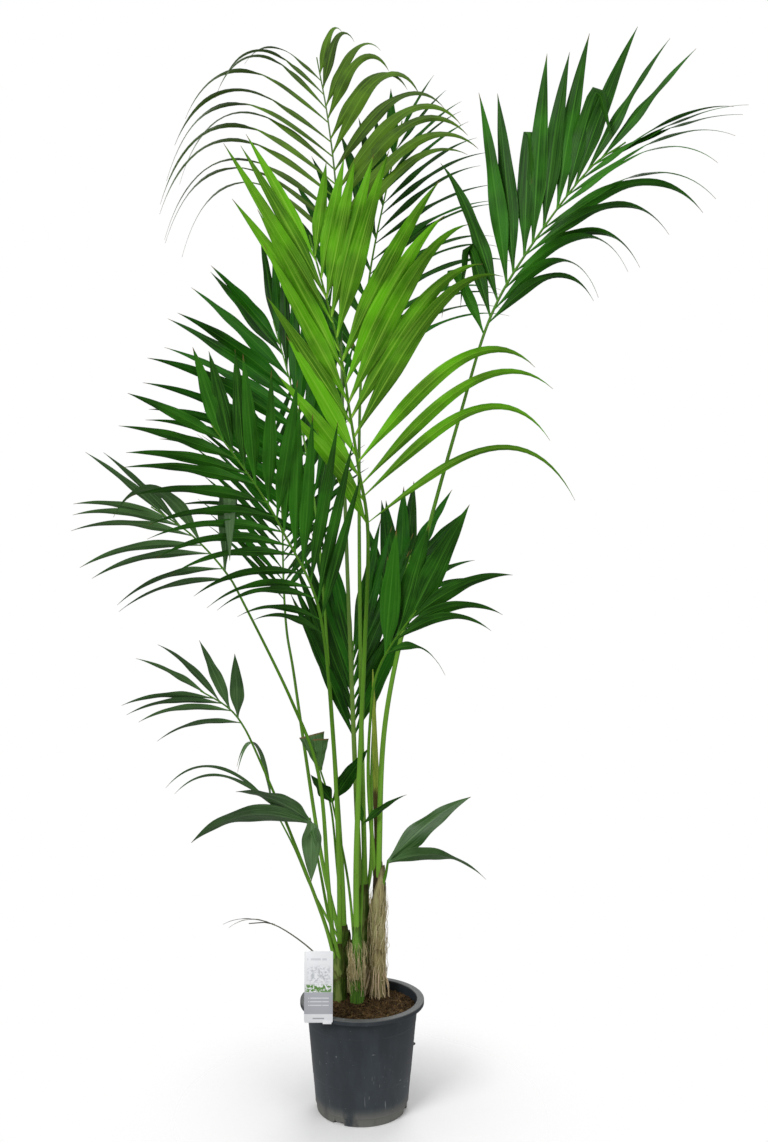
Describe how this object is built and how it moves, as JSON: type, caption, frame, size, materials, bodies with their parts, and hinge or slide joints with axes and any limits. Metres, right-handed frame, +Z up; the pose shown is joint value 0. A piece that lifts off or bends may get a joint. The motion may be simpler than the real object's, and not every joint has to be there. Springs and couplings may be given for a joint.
{
  "type": "potted palm",
  "caption": "Feather palm of slim stems with long arching fronds, growing in a round tapered nursery pot of peat with a plain label at the rim",
  "frame": {"origin": "middle of the pot's base, on the surface the pot stands on", "axes": "+Z up, -Y to the front of the plant, +X to its right-hand side"},
  "size_m": [1.0817, 0.6206, 2.0207],
  "materials": {
    "pot_plastic": "dusty moulded nursery plastic, dark slate",
    "peat": "damp fibrous reddish-brown peat",
    "label_card": "thin satin plastic card, white with a pale grey field",
    "green_sheath": "smooth green leaf base with dry brown margins",
    "dry_sheath": "fibrous straw-coloured leaf base",
    "olive_leaf": "olive green leaf with fine long veins",
    "deep_leaf": "deep glossy green leaf with fine long veins",
    "fresh_leaf": "bright yellow-green young leaf with fine long veins",
    "leaf": "satin mid-green leaf with fine long veins",
    "dry_leaf": "papery grey-brown withered leaf"
  },
  "bodies": {
    "root": {"pot": "pot_plastic", "soil": "peat", "plant_label": "label_card", "stem_back": "green_sheath", "stem_front": "green_sheath", "stem_left": "green_sheath", "stem_back_left": "green_sheath", "stem_right": "dry_sheath", "frond_crown": "olive_leaf", "frond_high_back": "deep_leaf", "frond_bright": "fresh_leaf", "frond_right_high": "leaf", "frond_left_mid": "leaf", "frond_left_high": "deep_leaf", "frond_left_low": "leaf", "frond_back_left": "deep_leaf", "frond_low_left": "leaf", "frond_low_thin": "leaf", "frond_low_broad": "leaf", "frond_front_right": "leaf", "frond_right_low": "leaf", "frond_inner_back": "deep_leaf", "frond_right_back": "deep_leaf", "leaf_small_cut": "leaf", "leaf_small_middle": "deep_leaf", "leaf_small_right": "leaf", "spear_leaf": "fresh_leaf", "withered_leaf": "dry_leaf"}
  },
  "joints": []
}
